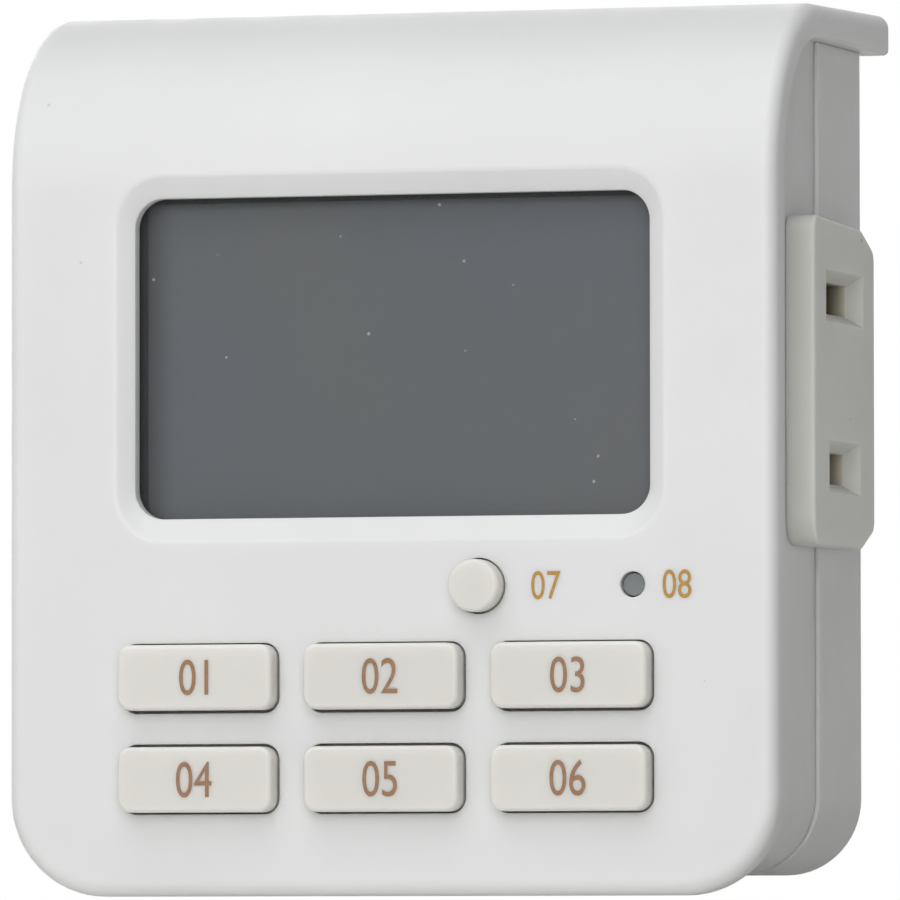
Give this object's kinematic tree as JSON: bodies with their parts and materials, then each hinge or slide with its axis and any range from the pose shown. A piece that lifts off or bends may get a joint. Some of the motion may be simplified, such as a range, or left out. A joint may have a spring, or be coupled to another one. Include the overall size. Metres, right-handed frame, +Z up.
{
  "type": "plug-in timer",
  "caption": "Plug-in digital timer: white case with a curved hood over its top, display, push keys, side outlet and two-blade polarised plug.",
  "frame": {"origin": "midway between the two blades, on the plane that seats on the wall outlet", "axes": "+Z up, display faces -Y, blades point along +Y, side outlet faces +X"},
  "size_m": [0.0602, 0.0515, 0.067],
  "materials": {
    "case_white": "fine satin moulded plastic",
    "outlet_white": "satin moulded plastic",
    "key_white": "smooth satin, warm white",
    "reset_grey": "satin",
    "window_clear": "clear polished lens",
    "lcd_grey": "dark grey polariser film",
    "frame_black": "matt black",
    "elastomer": "matt elastomer",
    "silicone": "matt grey silicone",
    "board_green": "solder mask on glass laminate",
    "screw_steel": "zinc plated",
    "tin_plate": "tin plated",
    "chip_black": "moulded epoxy",
    "socket_white": "nylon",
    "wire_grey": "ribbon insulation",
    "relay_blue": "moulded case",
    "film_yellow": "potted box",
    "disc_blue": "dipped coating",
    "resistor_tan": "lacquer",
    "blade_brass": "brass strip",
    "holder_white": "natural nylon"
  },
  "bodies": {
    "housing": {"front_cover": "case_white", "rear_shell": "case_white", "outlet_face": "outlet_white", "display_window": "window_clear", "lcd_panel": "lcd_grey", "lcd_frame": "frame_black", "zebra_strips": "elastomer", "keypad_mat": "silicone", "control_board": "board_green", "power_board": "board_green", "board_screws": "screw_steel", "power_screws": "screw_steel", "case_screws": "screw_steel", "controller_chip": "chip_black", "crystal": "tin_plate", "backup_battery": "tin_plate", "battery_tabs": "tin_plate", "cable_headers": "socket_white", "board_cable": "wire_grey", "relay": "relay_blue", "film_capacitor": "film_yellow", "electrolytic_capacitors": "chip_black", "varistor": "disc_blue", "diodes": "chip_black", "resistors": "resistor_tan", "driver_transistor": "chip_black", "line_blade": "blade_brass", "neutral_blade": "blade_brass", "blade_holder": "holder_white", "outlet_carrier": "holder_white", "neutral_contact": "blade_brass", "line_contact": "blade_brass", "neutral_strap": "blade_brass", "switched_strap": "blade_brass", "dome_upper_left": "silicone", "dome_upper_middle": "silicone", "dome_upper_right": "silicone", "dome_lower_left": "silicone", "dome_lower_middle": "silicone", "dome_lower_right": "silicone", "dome_round": "silicone", "dome_reset": "silicone"},
    "key_upper_left": {"key_upper_left": "key_white"},
    "key_upper_middle": {"key_upper_middle": "key_white"},
    "key_upper_right": {"key_upper_right": "key_white"},
    "key_lower_left": {"key_lower_left": "key_white"},
    "key_lower_middle": {"key_lower_middle": "key_white"},
    "key_lower_right": {"key_lower_right": "key_white"},
    "round_key": {"round_key": "key_white"},
    "reset_plunger": {"reset_plunger": "reset_grey"}
  },
  "joints": [
    {"name": "press_upper_left", "type": "slide", "parent": "housing", "child": "key_upper_left", "axis": [0, 1, 0], "range_m": [0, 0.0008], "stiffness_N_per_m": 1200, "deforming": ["dome_upper_left"]},
    {"name": "press_upper_middle", "type": "slide", "parent": "housing", "child": "key_upper_middle", "axis": [0, 1, 0], "range_m": [0, 0.0008], "stiffness_N_per_m": 1200, "deforming": ["dome_upper_middle"]},
    {"name": "press_upper_right", "type": "slide", "parent": "housing", "child": "key_upper_right", "axis": [0, 1, 0], "range_m": [0, 0.0008], "stiffness_N_per_m": 1200, "deforming": ["dome_upper_right"]},
    {"name": "press_lower_left", "type": "slide", "parent": "housing", "child": "key_lower_left", "axis": [0, 1, 0], "range_m": [0, 0.0008], "stiffness_N_per_m": 1200, "deforming": ["dome_lower_left"]},
    {"name": "press_lower_middle", "type": "slide", "parent": "housing", "child": "key_lower_middle", "axis": [0, 1, 0], "range_m": [0, 0.0008], "stiffness_N_per_m": 1200, "deforming": ["dome_lower_middle"]},
    {"name": "press_lower_right", "type": "slide", "parent": "housing", "child": "key_lower_right", "axis": [0, 1, 0], "range_m": [0, 0.0008], "stiffness_N_per_m": 1200, "deforming": ["dome_lower_right"]},
    {"name": "press_round", "type": "slide", "parent": "housing", "child": "round_key", "axis": [0, 1, 0], "range_m": [0, 0.0008], "stiffness_N_per_m": 1200, "deforming": ["dome_round"]},
    {"name": "press_reset", "type": "slide", "parent": "housing", "child": "reset_plunger", "axis": [0, 1, 0], "range_m": [0, 0.0008], "stiffness_N_per_m": 1200, "deforming": ["dome_reset"]}
  ]
}
